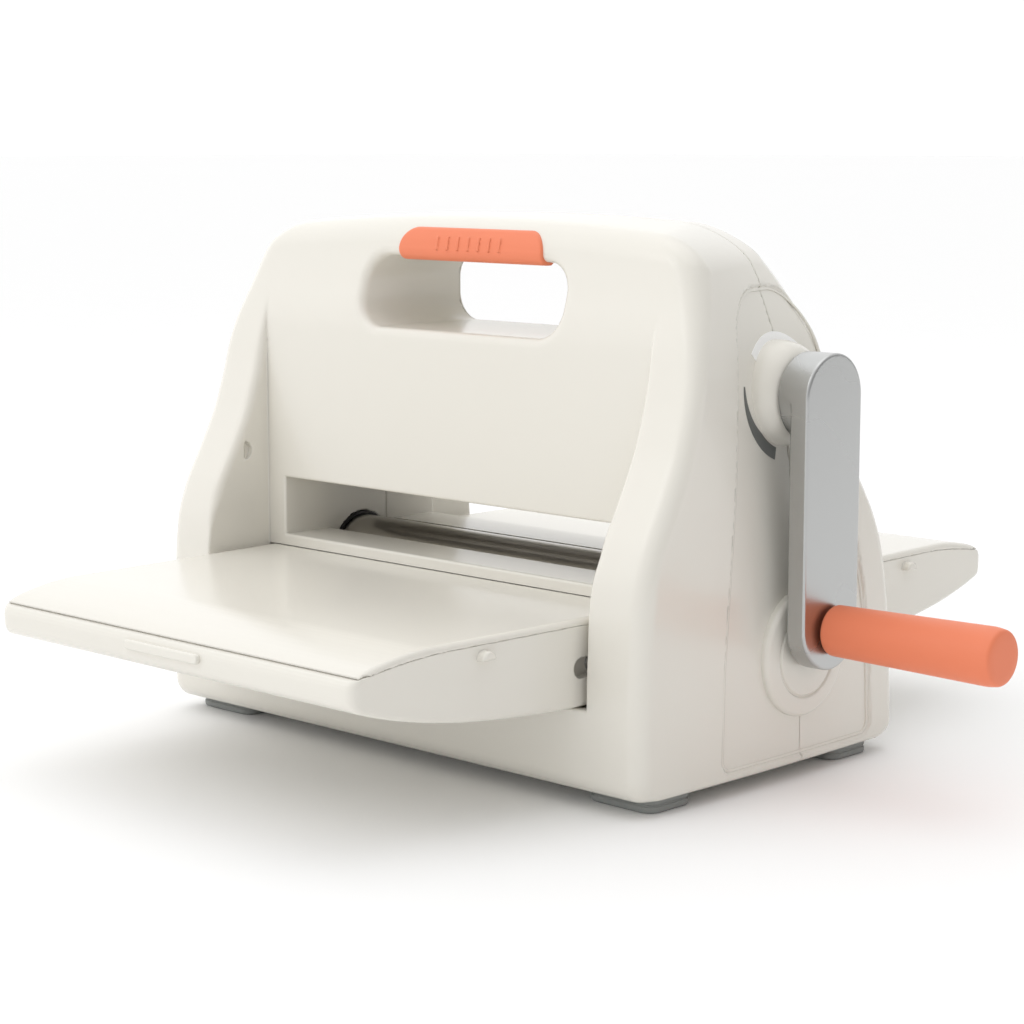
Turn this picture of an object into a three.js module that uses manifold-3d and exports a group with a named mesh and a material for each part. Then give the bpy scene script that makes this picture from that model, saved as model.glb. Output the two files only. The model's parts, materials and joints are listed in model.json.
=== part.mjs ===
// Hand-cranked die cutting machine with a roller pair in a moulded casing and two fold-down trays.
// Millimetres, +Z up, X along the rollers (crank on +X), -Y is the front. Z = 0 is the table.
import * as THREE from 'three';
import { mergeVertices } from 'three/addons/utils/BufferGeometryUtils.js';
import Module from 'manifold-3d';

const wasm = await Module();
wasm.setup();

// ---- Driving dimensions ----

const GAP = 0.3; // clearance between fixed neighbours
const WALL = 3;

const SEAM_Y = 18;
const EDGE_CHAMFER = 8;
const SHELL_BOTTOM = 7.5;

// Casing outline, one station per height: half depth, and half width at the front edge,
// at the seam and at the rear edge.
const STATIONS = [
  { z: SHELL_BOTTOM, depth: 96.9, front: 163.5, seam: 165.5, rear: 163.3 },
  { z: 60, depth: 96.6, front: 163.5, seam: 165, rear: 161 },
  { z: 90, depth: 95.3, front: 163.5, seam: 163.3, rear: 159.5 },
  { z: 115, depth: 90.5, front: 163.5, seam: 161, rear: 156.5 },
  { z: 135, depth: 80, front: 163.5, seam: 158.8, rear: 154 },
  { z: 155, depth: 69.5, front: 163.5, seam: 156, rear: 152 },
  { z: 180, depth: 61, front: 163.5, seam: 152.2, rear: 150.5 },
  { z: 205, depth: 55.5, front: 161, seam: 148, rear: 146 },
  { z: 226, depth: 48, front: 155, seam: 140, rear: 137 },
  { z: 240, depth: 44.5, front: 149, seam: 130, rear: 128 },
  { z: 250, depth: 42, front: 139, seam: 118, rear: 117 },
  { z: 255.5, depth: 38, front: 118, seam: 100, rear: 100 },
  { z: 259.5, depth: 30, front: 70, seam: 60, rear: 60 },
  { z: 261, depth: 20, front: 20, seam: 20, rear: 20 },
];
const CROWN_Z = 235; // above this height a wall's thickness is measured downwards too

// Tray pockets between the cheeks, in front of and behind the roller housing.
const POCKET_HALF_WIDTH = 131.5;
const PANEL_Y = 54;
const RECESS_Y = 45;
const WELL_Y = 91;
const WELL_Z = 34;
const SILL_Z = 46;

// Feed slot, its ledges, and the chamber round the rollers.
const SLOT_HALF_WIDTH = 119;
const SLOT_Z = [93, 123];
const LEDGE_Z = 87.5;
const CHAMBER_Y = 24;
const CHAMBER_Z = [56, 157];
const LINER = 2.5;

const HANDLE = { x: [-62, 73], z: [205, 240], corner: 14 };
// the handle hole opens out into a wider recess in the back
const HANDLE_RECESS = { x: [-98, 98], y: 21, z: [197, 241], corner: 18 };

// Rollers, gears and crank.
const ROLLER_R = 17.5;
const ROLLER_HALF = 121.6;
const JOURNAL_R = 8;
const LOWER_Z = 80;
const MODULE = 1.5;
const ROLLER_TEETH = 35;
const PINION_TEETH = 17;
const REDUCTION_TEETH = 51;
const TOOTH_PLAY = 0.5;
const UPPER_Z = LOWER_Z + ROLLER_TEETH * MODULE;
const CRANK_Y = 16.6;
const CRANK_REACH = (PINION_TEETH + REDUCTION_TEETH) * MODULE / 2;
const CRANK_Z = UPPER_Z + Math.sqrt(CRANK_REACH ** 2 - CRANK_Y ** 2);
const COLLAR_R = 19.5;
const BORE_PLAY = 0.15;
const RUNNING_PLAY = 0.06; // left between the flats of a shaft's bore and the shaft
const ROLLER_PLAY = 0.4;

const FRAME_X = [122.6, 126.2];
const FRAME_HALF_DEPTH = 40;
const FRAME_Z = { foot: 12.9, frontShoulder: 165, rearShoulder: 172, top: 198 };
const FRAME_TOP_HALF = 14;
const JOURNAL_BUSH_R = 12;
const CRANK_BUSH_R = 10;
const ROLLER_GEAR_X = [129, 136];
const REDUCTION_X = [138.5, 143.5];
const CRANK_SHAFT_R = 6;
const TIE_ROD_R = 5;
const TIE_ROD_END_R = 3;
const TIE_RODS = [[-32, 24], [32, 24], [-38, 150], [38, 150]]; // [y, z]
const SHAFT_SIDES = 16;

const ARM = { x: [171.5, 182], halfWidth: 20.5, bottomZ: 75 };
const ARM_RELIEF = { depth: 6, border: 5, bottom: 28, top: 38 };
const HUB_X = 164.4;
const SET_SCREW = { x: 168, r: 2 };
const GRIP_PIN = { r: 4, headR: 6, headStart: 14.2, headEnd: 12 };
// turned outlines as [x, radius] points
const BOSS_PROFILE = [
  [140, 0], [140, 27], [153.5, 27], [156.5, 26], [160, 23.5], [162.5, 21], [163.8, 18.5], [163.8, 0],
];
const CAP_PROFILE = [[150, 0], [150, 30], [165.5, 30], [167.5, 28], [168.5, 24], [168.5, 0]];
const CAP_Z = 60;
const MARK = { innerR: 28.5, outerR: 34, skin: 0.7, light: [45, 135], dark: [170, 250] };
const GRIP = { x: [183.4, 275], z: 73.5, startR: 11.9, endR: 13.4 };
// from the middle of the casing to the middle of the whole machine
const ORIGIN_X = (GRIP.x[1] - STATIONS[0].seam) / 2;

// Trays: the profile is drawn for the rear tray, the front one is its mirror image.
const HINGE_Y = 83;
const HINGE_Z = 64.75;
const HINGE_PIN_R = 4;
const TRAY_TOP = 87;
const TRAY_REAR_Y = 55.3;
const TRAY_TIP_Y = 230;
const TRAY_HALF = { hinge: 129.3, tip: 124 };
const TRAY_WALL = 2.5;
const TRAY_SLOT = { y: [76.5, 100], halfHeight: 4.75 };
const FINGER_BAR = { halfWidth: 26, z: [71.8, 76.3], proud: 1.5 };
const PEG = { y: 155.5, z: 79.5, r: 4.2, proud: 3.2 };

const INSERT = { x: [-41, 56], z: [240.6, 254.6], corner: 6.5, proud: 1.6 };

const BASE_Z = [9.5, 12.5];
const BASE_SCREW = { x: 112, y: 84 };
// a base screw's outline as [radius, z] points, head down
const BASE_SCREW_PROFILE = [[0, 6.7], [4.4, 6.7], [4.4, 9.2], [2.3, 9.2], [2.3, 17.5], [0, 17.5]];
const FOOT = { x: 138, y: 67, halfX: 20, halfY: 15, top: 9.2, corner: 7 };

// ---- Materials ----

const makeMaterial = (color, roughness, metalness) =>
  new THREE.MeshStandardMaterial({ color, roughness, metalness });
const CREAM = () => makeMaterial(0xf2efe6, 0.35, 0);
const CORAL = () => makeMaterial(0xf0876a, 0.5, 0);
const GREY_RUBBER = () => makeMaterial(0x969895, 0.8, 0);
const STEEL = () => makeMaterial(0xb9bcbf, 0.35, 1);
const CHROME = () => makeMaterial(0xdadcde, 0.15, 1);
const SATIN_SILVER = () => makeMaterial(0xb4b6b8, 0.4, 1);
const BLACK_PLASTIC = () => makeMaterial(0x202122, 0.5, 0);
const GEAR_PLASTIC = () => makeMaterial(0xe4e0d2, 0.5, 0);
const WHITE_PRINT = () => makeMaterial(0xfafafa, 0.5, 0);
const DARK_PRINT = () => makeMaterial(0x6c6e69, 0.5, 0);

// ---- Solids ----

function toSolid(geometry) {
  const bare = geometry.clone();
  bare.deleteAttribute('normal');
  bare.deleteAttribute('uv');
  const merged = mergeVertices(bare, 1e-4);
  return new wasm.Manifold(new wasm.Mesh({
    numProp: 3,
    vertProperties: Float32Array.from(merged.attributes.position.array),
    triVerts: Uint32Array.from(merged.index.array),
  }));
}

function toGeometry(solid) {
  const mesh = solid.getMesh();
  const geometry = new THREE.BufferGeometry();
  geometry.setAttribute('position', new THREE.BufferAttribute(mesh.vertProperties, 3));
  geometry.setIndex(new THREE.BufferAttribute(mesh.triVerts, 1));
  geometry.computeVertexNormals();
  return geometry;
}

const join = (...solids) => solids.reduce((all, next) => all.add(next));
const cut = (solid, ...tools) => tools.reduce((rest, tool) => rest.subtract(tool), solid);

function box([x0, x1], [y0, y1], [z0, z1]) {
  const geometry = new THREE.BoxGeometry(x1 - x0, y1 - y0, z1 - z0);
  return toSolid(geometry.translate((x0 + x1) / 2, (y0 + y1) / 2, (z0 + z1) / 2));
}

const AXES = {
  // an outline in (Y, Z) pushed along X, in (X, Z) pushed along Y, or in (X, Y) pushed along Z
  x: new THREE.Matrix4().makeBasis(
    new THREE.Vector3(0, 1, 0), new THREE.Vector3(0, 0, 1), new THREE.Vector3(1, 0, 0)),
  y: new THREE.Matrix4().makeBasis(
    new THREE.Vector3(1, 0, 0), new THREE.Vector3(0, 0, 1), new THREE.Vector3(0, -1, 0)),
  z: new THREE.Matrix4(),
};

function prism(shape, axis, [from, to], curveSegments = 6) {
  const options = { depth: to - from, bevelEnabled: false, curveSegments };
  const geometry = new THREE.ExtrudeGeometry(shape, options);
  geometry.translate(0, 0, axis === 'y' ? -to : from);
  return toSolid(geometry.applyMatrix4(AXES[axis]));
}

function cylinderX(radius, [x0, x1], y, z, segments = 24, endRadius = radius) {
  const geometry = new THREE.CylinderGeometry(endRadius, radius, x1 - x0, segments);
  return toSolid(geometry.rotateZ(-Math.PI / 2).translate((x0 + x1) / 2, y, z));
}

// The radius of a faceted bore in which a shaft of that radius turns freely.
const runningBore = (radius, sides) => radius / Math.cos(Math.PI / sides) + RUNNING_PLAY;

function lathedX(profile, y, z, segments = 24) {
  // profile: [x, radius] points from axis to axis
  const points = profile.map(([x, radius]) => new THREE.Vector2(radius, x));
  const geometry = new THREE.LatheGeometry(points, segments);
  return toSolid(geometry.rotateZ(-Math.PI / 2).translate(0, y, z));
}

function polygon(points) {
  return new THREE.Shape(points.map(([u, v]) => new THREE.Vector2(u, v)));
}

function roundedRect(u0, u1, v0, v1, r) {
  const shape = new THREE.Shape();
  shape.moveTo(u0 + r, v0);
  shape.lineTo(u1 - r, v0);
  shape.absarc(u1 - r, v0 + r, r, -Math.PI / 2, 0);
  shape.absarc(u1 - r, v1 - r, r, 0, Math.PI / 2);
  shape.absarc(u0 + r, v1 - r, r, Math.PI / 2, Math.PI);
  shape.absarc(u0 + r, v0 + r, r, Math.PI, 1.5 * Math.PI);
  return shape;
}

function grownRect({ x, z, corner }, grow) {
  return roundedRect(x[0] - grow, x[1] + grow, z[0] - grow, z[1] + grow, corner + grow);
}

function stadium(y, z0, z1, r) {
  const shape = new THREE.Shape();
  shape.absarc(y, z1, r, 0, Math.PI);
  shape.absarc(y, z0, r, Math.PI, 2 * Math.PI);
  return shape;
}

const mirrorX = solid => solid.mirror([1, 0, 0]);
const mirrorY = solid => solid.mirror([0, 1, 0]);
const bothEnds = solid => join(solid, mirrorY(solid));
const bothSides = solid => join(solid, mirrorX(solid));

// ---- The machine ----

const machine = new THREE.Group();
machine.position.x = -ORIGIN_X;

function add(name, solid, material) {
  const mesh = new THREE.Mesh(toGeometry(solid), material);
  mesh.name = name;
  machine.add(mesh);
}

// Casing

function casingRing({ depth, front, seam, rear }, z, grow) {
  const d = depth + grow;
  const chamfer = Math.min(EDGE_CHAMFER, 0.4 * depth);
  const right = [
    [front + grow - chamfer, -d],
    [front + grow, -d + chamfer],
    [seam + grow, Math.min(SEAM_Y, d - chamfer - 1)],
    [rear + grow, d - chamfer],
    [rear + grow - chamfer, d],
  ];
  const left = right.map(([x, y]) => [-x, y]).reverse();
  return [...right, ...left].map(([x, y]) => [x, y, z]);
}

function casingSolid(grow, bottom) {
  const rings = STATIONS.map((station, i) => {
    const z = i === 0 ? bottom : station.z + (station.z > CROWN_Z ? grow : 0);
    return casingRing(station, z, grow);
  });
  const count = rings[0].length;
  const positions = rings.flat(2);
  const top = rings.length - 1;
  const index = [];
  for (let level = 0; level < top; level++) {
    for (let i = 0; i < count; i++) {
      const a = level * count + i;
      const b = level * count + (i + 1) % count;
      index.push(a, b, b + count, a, b + count, a + count);
    }
  }
  for (let i = 1; i < count - 1; i++) {
    index.push(0, i + 1, i);
    index.push(top * count, top * count + i, top * count + i + 1);
  }
  const geometry = new THREE.BufferGeometry();
  geometry.setAttribute('position', new THREE.Float32BufferAttribute(positions, 3));
  geometry.setIndex(index);
  return toSolid(geometry);
}

// Everything that the casing is hollowed out by from outside; 'grow' widens it into its own walls.
function openings(grow, liner) {
  const wide = POCKET_HALF_WIDTH + grow;
  const pocket = join(
    box([-wide, wide], [PANEL_Y - grow, 300], [SLOT_Z[0] - 6 - grow, 300]),
    box([-wide, wide], [RECESS_Y - grow, WELL_Y + grow], [WELL_Z - grow, LEDGE_Z + grow]),
    box([-wide, wide], [WELL_Y - 1, 300], [SILL_Z - grow, LEDGE_Z + grow]),
  );
  const slot = SLOT_HALF_WIDTH + liner;
  const tunnel = box([-slot, slot], [-PANEL_Y - 1, PANEL_Y + 1], [SLOT_Z[0] - grow, SLOT_Z[1] + grow]);
  const chamber = box(
    [-slot, slot],
    [-CHAMBER_Y - liner, CHAMBER_Y + liner],
    [CHAMBER_Z[0] - liner, CHAMBER_Z[1] + liner]);
  const handleHole = prism(grownRect(HANDLE, grow), 'y', [-100, 100], 5);
  const recess = prism(grownRect(HANDLE_RECESS, grow), 'y', [HANDLE_RECESS.y - grow, 100], 5);
  return join(bothEnds(pocket), tunnel, chamber, handleHole, recess);
}

function wallHoles() {
  const collars = [LOWER_Z, UPPER_Z].map(z =>
    cylinderX(COLLAR_R + GAP, [SLOT_HALF_WIDTH - 2, SLOT_HALF_WIDTH + LINER + 1], 0, z, 24));
  const pin = cylinderX(HINGE_PIN_R + GAP, [POCKET_HALF_WIDTH - 1, POCKET_HALF_WIDTH + WALL + 1],
    HINGE_Y, HINGE_Z, 12);
  // the pegs of a folded tray click in here
  const detentY = HINGE_Y - (PEG.z - HINGE_Z);
  const detentZ = HINGE_Z + PEG.y - HINGE_Y;
  const detent = cylinderX(PEG.r + 0.6, [POCKET_HALF_WIDTH - 1, POCKET_HALF_WIDTH + WALL + 1],
    detentY, detentZ, 12);
  const shaft = cylinderX(CRANK_SHAFT_R + 2, [140, 170], CRANK_Y, CRANK_Z, 20);
  return join(bothSides(join(...collars, bothEnds(join(pin, detent)))), shaft);
}

function casingShell() {
  const skin = cut(casingSolid(0, SHELL_BOTTOM), openings(0, 0));
  const hollow = cut(casingSolid(-WALL, -20), openings(WALL, LINER));
  return cut(skin, hollow, wallHoles());
}

function buildCasing() {
  const shell = casingShell();
  const front = box([-200, 200], [-200, SEAM_Y - GAP / 2], [-50, 300]);
  const rear = box([-200, 200], [SEAM_Y + GAP / 2, 200], [-50, 300]);
  add('front_shell', shell.intersect(front), CREAM());
  add('rear_shell', shell.intersect(rear), CREAM());
}

function buildGripInsert() {
  const { x, z, corner } = INSERT;
  const outline = roundedRect(...x, ...z, corner);
  const proud = casingSolid(INSERT.proud, 0);
  const slab = prism(outline, 'y', [-60, -16], 5);
  add('handle_grip_insert', cut(slab.intersect(proud), casingSolid(GAP, 0)), CORAL());
}

// Base and feet

function footPlaces() {
  return [['front', -1], ['rear', 1]].flatMap(([end, sy]) =>
    [['left', -1], ['right', 1]].map(([side, sx]) => ({ name: `${end}_${side}`, sx, sy })));
}

function buildBase() {
  const plate = box([-200, 200], [-200, 200], BASE_Z).intersect(casingSolid(-WALL - GAP, -20));
  const holes = footPlaces().map(({ sx, sy }) => {
    const hole = new THREE.CylinderGeometry(2.6, 2.6, 10, 12).rotateX(Math.PI / 2);
    return toSolid(hole.translate(sx * BASE_SCREW.x, sy * BASE_SCREW.y, BASE_Z[0] + 1));
  });
  add('base_plate', cut(plate, ...holes), CREAM());
  for (const { name, sx, sy } of footPlaces()) {
    const { x, y, halfX, halfY, top, corner } = FOOT;
    const [footX, footY] = [sx * x, sy * y];
    const pad = roundedRect(footX - halfX, footX + halfX, footY - halfY, footY + halfY, corner);
    add(`foot_${name}`, prism(pad, 'z', [0, top], 4), GREY_RUBBER());
    const points = BASE_SCREW_PROFILE.map(([r, z]) => new THREE.Vector2(r, z));
    const turned = new THREE.LatheGeometry(points, 12).rotateX(Math.PI / 2);
    const screw = turned.translate(sx * BASE_SCREW.x, sy * BASE_SCREW.y, 0);
    add(`base_screw_${name}`, toSolid(screw), STEEL());
  }
}

// Roller frame

function framePlate() {
  const d = FRAME_HALF_DEPTH;
  const { foot, frontShoulder, rearShoulder, top } = FRAME_Z;
  const outline = polygon([
    [-d, foot], [d, foot], [d, rearShoulder],
    [CRANK_Y + FRAME_TOP_HALF, top], [CRANK_Y - FRAME_TOP_HALF, top], [-d, frontShoulder],
  ]);
  const plate = prism(outline, 'x', FRAME_X);
  const through = [FRAME_X[0] - 2, FRAME_X[1] + 2];
  const journals = [LOWER_Z, UPPER_Z].map(z =>
    cylinderX(JOURNAL_BUSH_R + BORE_PLAY, through, 0, z, SHAFT_SIDES));
  const crank = cylinderX(CRANK_BUSH_R + BORE_PLAY, through, CRANK_Y, CRANK_Z, SHAFT_SIDES);
  const rods = TIE_RODS.map(([y, z]) => cylinderX(TIE_ROD_END_R + BORE_PLAY, through, y, z, 8));
  return cut(plate, ...journals, crank, ...rods);
}

function bush(outer, shaftR, y, z) {
  const end = FRAME_X[1] + 1.6;
  const body = cylinderX(outer, [FRAME_X[0] + 0.1, end], y, z, SHAFT_SIDES);
  const flange = cylinderX(outer + 2, [FRAME_X[1] + 0.15, end], y, z, SHAFT_SIDES);
  const bore = runningBore(shaftR, SHAFT_SIDES);
  return cut(join(body, flange), cylinderX(bore, [FRAME_X[0] - 1, end + 1], y, z, SHAFT_SIDES));
}

function buildFrame() {
  add('frame_right', framePlate(), STEEL());
  add('frame_left', mirrorX(framePlate()), STEEL());
  TIE_RODS.forEach(([y, z], i) => {
    const half = FRAME_X[0] - 0.2;
    const end = FRAME_X[1] + 1.8;
    const rod = join(
      cylinderX(TIE_ROD_R, [-half, half], y, z, 8),
      cylinderX(TIE_ROD_END_R, [-end, end], y, z, 8));
    add(`tie_rod_${i + 1}`, rod, STEEL());
  });
  for (const [level, z] of [['lower', LOWER_Z], ['upper', UPPER_Z]]) {
    const right = bush(JOURNAL_BUSH_R, JOURNAL_R, 0, z);
    add(`${level}_bush_right`, right, STEEL());
    add(`${level}_bush_left`, mirrorX(right), STEEL());
    const collar = cut(
      cylinderX(COLLAR_R, [SLOT_HALF_WIDTH - 0.6, SLOT_HALF_WIDTH + LINER + 0.2], 0, z, 24),
      cylinderX(ROLLER_R + ROLLER_PLAY, [100, 130], 0, z, 24));
    add(`${level}_collar_right`, collar, BLACK_PLASTIC());
    add(`${level}_collar_left`, mirrorX(collar), BLACK_PLASTIC());
  }
  add('crank_bush', bush(CRANK_BUSH_R, CRANK_SHAFT_R, CRANK_Y, CRANK_Z), STEEL());
}

// Rollers and gears

function gearShape(teeth, phase) {
  const pitchR = teeth * MODULE / 2;
  const rootR = pitchR - 1.2 * MODULE;
  const tipR = pitchR + 0.85 * MODULE;
  const step = 2 * Math.PI / teeth;
  const halfAt = r => (Math.PI * MODULE / 2 - TOOTH_PLAY) / 2 / pitchR - (r - pitchR) * 0.36 / pitchR;
  const points = [];
  for (let i = 0; i < teeth; i++) {
    const middle = phase + i * step;
    for (const [r, side] of [[rootR, -1], [tipR, -1], [tipR, 1], [rootR, 1]]) {
      const angle = middle + side * halfAt(r);
      points.push([r * Math.cos(angle), r * Math.sin(angle)]);
    }
  }
  return polygon(points);
}

function gear(teeth, phase, x, y, z, boreR) {
  const blank = prism(gearShape(teeth, phase), 'x', x).translate([0, y, z]);
  return cut(blank, cylinderX(boreR + BORE_PLAY, [100, 160], y, z, 16));
}

function roller(z, rightEnd) {
  return join(
    cylinderX(ROLLER_R, [-ROLLER_HALF, ROLLER_HALF], 0, z, 24),
    cylinderX(JOURNAL_R, [-FRAME_X[1] - 6, rightEnd], 0, z, SHAFT_SIDES));
}

function retainingRing(z) {
  const x = [-FRAME_X[1] - 3.4, -FRAME_X[1] - 2];
  return cut(cylinderX(11, x, 0, z, 16), cylinderX(JOURNAL_R + BORE_PLAY, [-140, -100], 0, z, 16));
}

function buildRollers() {
  add('lower_roller', roller(LOWER_Z, ROLLER_GEAR_X[1] + 1), CHROME());
  add('upper_roller', roller(UPPER_Z, REDUCTION_X[1] + 1), CHROME());
  add('lower_retaining_ring', retainingRing(LOWER_Z), STEEL());
  add('upper_retaining_ring', retainingRing(UPPER_Z), STEEL());
}

function buildGears() {
  // a tooth of the upper gear points straight down, into a gap of the lower gear
  const down = -Math.PI / 2;
  const halfTooth = Math.PI / ROLLER_TEETH;
  add('upper_gear', gear(ROLLER_TEETH, down, ROLLER_GEAR_X, 0, UPPER_Z, JOURNAL_R), STEEL());
  add('lower_gear', gear(ROLLER_TEETH, -down + halfTooth, ROLLER_GEAR_X, 0, LOWER_Z, JOURNAL_R), STEEL());
  // a pinion tooth points along the line of centres, into a gap of the reduction gear
  const towardCrank = Math.atan2(CRANK_Z - UPPER_Z, CRANK_Y);
  const gap = towardCrank + Math.PI / REDUCTION_TEETH;
  add('reduction_gear', gear(REDUCTION_TEETH, gap, REDUCTION_X, 0, UPPER_Z, JOURNAL_R), GEAR_PLASTIC());
  const tooth = towardCrank + Math.PI;
  add('crank_pinion', gear(PINION_TEETH, tooth, REDUCTION_X, CRANK_Y, CRANK_Z, CRANK_SHAFT_R), STEEL());
}

// Crank

function buildCrankSupport() {
  const outside = casingSolid(GAP, 0);
  const boreR = runningBore(CRANK_SHAFT_R, SHAFT_SIDES);
  const bore = cylinderX(boreR, [130, 180], CRANK_Y, CRANK_Z, SHAFT_SIDES);
  add('crank_boss', cut(lathedX(BOSS_PROFILE, CRANK_Y, CRANK_Z), outside, bore), CREAM());
  add('lower_cap', cut(lathedX(CAP_PROFILE, SEAM_Y, CAP_Z), outside), CREAM());
}

// A printed arc round the crank boss, a thin skin on the casing's side.
function directionMark(degrees) {
  const [start, end] = degrees.map(THREE.MathUtils.degToRad);
  const shape = new THREE.Shape();
  shape.absarc(0, 0, MARK.outerR, start, end);
  shape.absarc(0, 0, MARK.innerR, end, start, true);
  const arc = prism(shape, 'x', [130, 175], 8).translate([0, CRANK_Y, CRANK_Z]);
  return cut(arc.intersect(casingSolid(MARK.skin, 0)), casingSolid(GAP, 0));
}

function buildCrank() {
  const shaftX = [FRAME_X[0] - 0.4, 176];
  const shaft = cylinderX(CRANK_SHAFT_R, shaftX, CRANK_Y, CRANK_Z, SHAFT_SIDES);
  add('crank_shaft', shaft, STEEL());
  const { x, halfWidth, bottomZ } = ARM;
  const arm = prism(stadium(CRANK_Y, bottomZ, CRANK_Z, halfWidth), 'x', x, 14);
  const hub = cylinderX(halfWidth - 0.3, [HUB_X, x[0] + 1], CRANK_Y, CRANK_Z, 28);
  const { depth, border, bottom, top } = ARM_RELIEF;
  const hollow = stadium(CRANK_Y, bottomZ + bottom, CRANK_Z - top, halfWidth - border);
  const relief = prism(hollow, 'x', [x[0] - 1, x[0] + depth], 8);
  const shaftBore = cylinderX(
    CRANK_SHAFT_R + BORE_PLAY, [HUB_X - 4, shaftX[1] + GAP], CRANK_Y, CRANK_Z, SHAFT_SIDES);
  const pinBore = cylinderX(GRIP_PIN.r + BORE_PLAY, [x[0] - 10, x[1] + 8], CRANK_Y, GRIP.z, 12);
  const screwBore = setScrewCylinder(SET_SCREW.r + BORE_PLAY, [CRANK_SHAFT_R + 0.3, 30]);
  add('crank_arm', cut(join(arm, hub), relief, shaftBore, pinBore, screwBore), SATIN_SILVER());
  const screw = setScrewCylinder(SET_SCREW.r, [CRANK_SHAFT_R + 0.5, halfWidth - 2]);
  add('crank_set_screw', screw, STEEL());
}

// A cylinder along Y that reaches from the crank's axis out through its hub.
function setScrewCylinder(radius, reach) {
  const upright = cylinderX(radius, reach, 0, 0, 8).rotate([0, 0, 90]);
  return upright.translate([SET_SCREW.x, CRANK_Y, CRANK_Z]);
}

function buildGrip() {
  const { x: [x0, x1], z, startR, endR } = GRIP;
  const { r, headR, headStart, headEnd } = GRIP_PIN;
  const pin = join(
    cylinderX(r, [ARM.x[0] + 1, x1 - headStart + 0.2], CRANK_Y, z, 12),
    cylinderX(headR, [x1 - headStart, x1 - headEnd], CRANK_Y, z, 12));
  add('grip_pin', pin, STEEL());
  const profile = [
    [x0, 0], [x0, startR - 0.8], [x0 + 0.8, startR], [x1 - 8, endR], [x1 - 3, endR - 1.4],
    [x1 - 0.6, endR - 4.6], [x1, endR - 6], [x1, 0],
  ];
  const bore = join(
    cylinderX(r + GAP, [x0 - 1, x1 - headEnd - 1], CRANK_Y, z, 12),
    cylinderX(headR + 0.4, [x1 - headStart - 0.4, x1 - headEnd + 0.4], CRANK_Y, z, 12));
  add('crank_grip', cut(lathedX(profile, CRANK_Y, z, 24), bore), CORAL());
}

// Trays

function trayProfile(inset) {
  const i = inset;
  const shape = new THREE.Shape();
  shape.moveTo(TRAY_REAR_Y + i, TRAY_TOP - i);
  shape.lineTo(TRAY_REAR_Y + i, 75 + i);
  shape.lineTo(HINGE_Y - 18 + i, HINGE_Z);
  shape.absarc(HINGE_Y, HINGE_Z, 18 - i, Math.PI, 1.5 * Math.PI);
  shape.lineTo(110, 46.9 + i);
  shape.bezierCurveTo(160, 49 + i, 195, 54 + i, 225 - i, 64.5 + i);
  shape.quadraticCurveTo(TRAY_TIP_Y - i, 67 + i, TRAY_TIP_Y - i, 74);
  shape.quadraticCurveTo(TRAY_TIP_Y - i, 80 - i, 215, 83.4 - i);
  shape.quadraticCurveTo(198, TRAY_TOP - i, 185, TRAY_TOP - i);
  return shape;
}

function trayPlan(inset) {
  const { hinge, tip } = TRAY_HALF;
  const r = 12;
  const y1 = TRAY_TIP_Y - inset;
  const shape = new THREE.Shape();
  shape.moveTo(-hinge + inset, TRAY_REAR_Y - 1);
  shape.lineTo(hinge - inset, TRAY_REAR_Y - 1);
  shape.lineTo(tip - inset, y1 - r);
  shape.quadraticCurveTo(tip - inset, y1, tip - inset - r, y1);
  shape.lineTo(-tip + inset + r, y1);
  shape.quadraticCurveTo(-tip + inset, y1, -tip + inset, y1 - r);
  return shape;
}

function traySolid(inset) {
  return prism(trayProfile(inset), 'x', [-140, 140], 5).intersect(prism(trayPlan(inset), 'z', [0, 100], 4));
}

// Half-space below the parting line, which drops from 80.5 at the hinge to 74 at the tip.
function belowParting(shift) {
  const outline = polygon([[0, 0], [300, 0], [300, 71.5 + shift], [0, 82.5 + shift]]);
  return prism(outline, 'x', [-150, 150]);
}

function trayParts() {
  const wall = cut(traySolid(0), traySolid(TRAY_WALL));
  const pegTop = cylinderX(PEG.r, [120, TRAY_HALF.hinge + PEG.proud - 1.6], PEG.y, PEG.z - 2, 12);
  const pegs = bothSides(cut(pegTop, box([100, 140], [PEG.y - 9, PEG.y + 9], [60, PEG.z - 2])));
  const slotZ = [HINGE_Z - TRAY_SLOT.halfHeight, HINGE_Z + TRAY_SLOT.halfHeight];
  const slot = box([-140, 140], TRAY_SLOT.y, slotZ);
  const skin = cut(wall.intersect(belowParting(-GAP / 2)), slot);
  const insidePegs = cut(pegs.intersect(belowParting(-GAP / 2)), traySolid(TRAY_WALL));
  const { halfWidth, z, proud } = FINGER_BAR;
  const bar = box([-halfWidth, halfWidth], [TRAY_TIP_Y - 15, TRAY_TIP_Y + proud], z);
  return {
    top: cut(wall, belowParting(GAP / 2)),
    pan: join(skin, insidePegs),
    bar: cut(bar, traySolid(-GAP)),
  };
}

function hingePin() {
  const wallX = POCKET_HALF_WIDTH + WALL;
  return join(
    cylinderX(HINGE_PIN_R, [TRAY_HALF.tip - 5, wallX + 0.5], HINGE_Y, HINGE_Z, 12),
    cylinderX(HINGE_PIN_R + 2, [wallX + GAP, wallX + 3], HINGE_Y, HINGE_Z, 12));
}

function buildTrays() {
  const { top, pan, bar } = trayParts();
  for (const [end, place] of [['rear', solid => solid], ['front', mirrorY]]) {
    add(`${end}_tray_top`, place(top), CREAM());
    add(`${end}_tray_pan`, place(pan), CREAM());
    add(`${end}_finger_bar`, place(bar), CREAM());
    add(`${end}_hinge_pin_right`, place(hingePin()), STEEL());
    add(`${end}_hinge_pin_left`, place(mirrorX(hingePin())), STEEL());
  }
}

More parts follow.
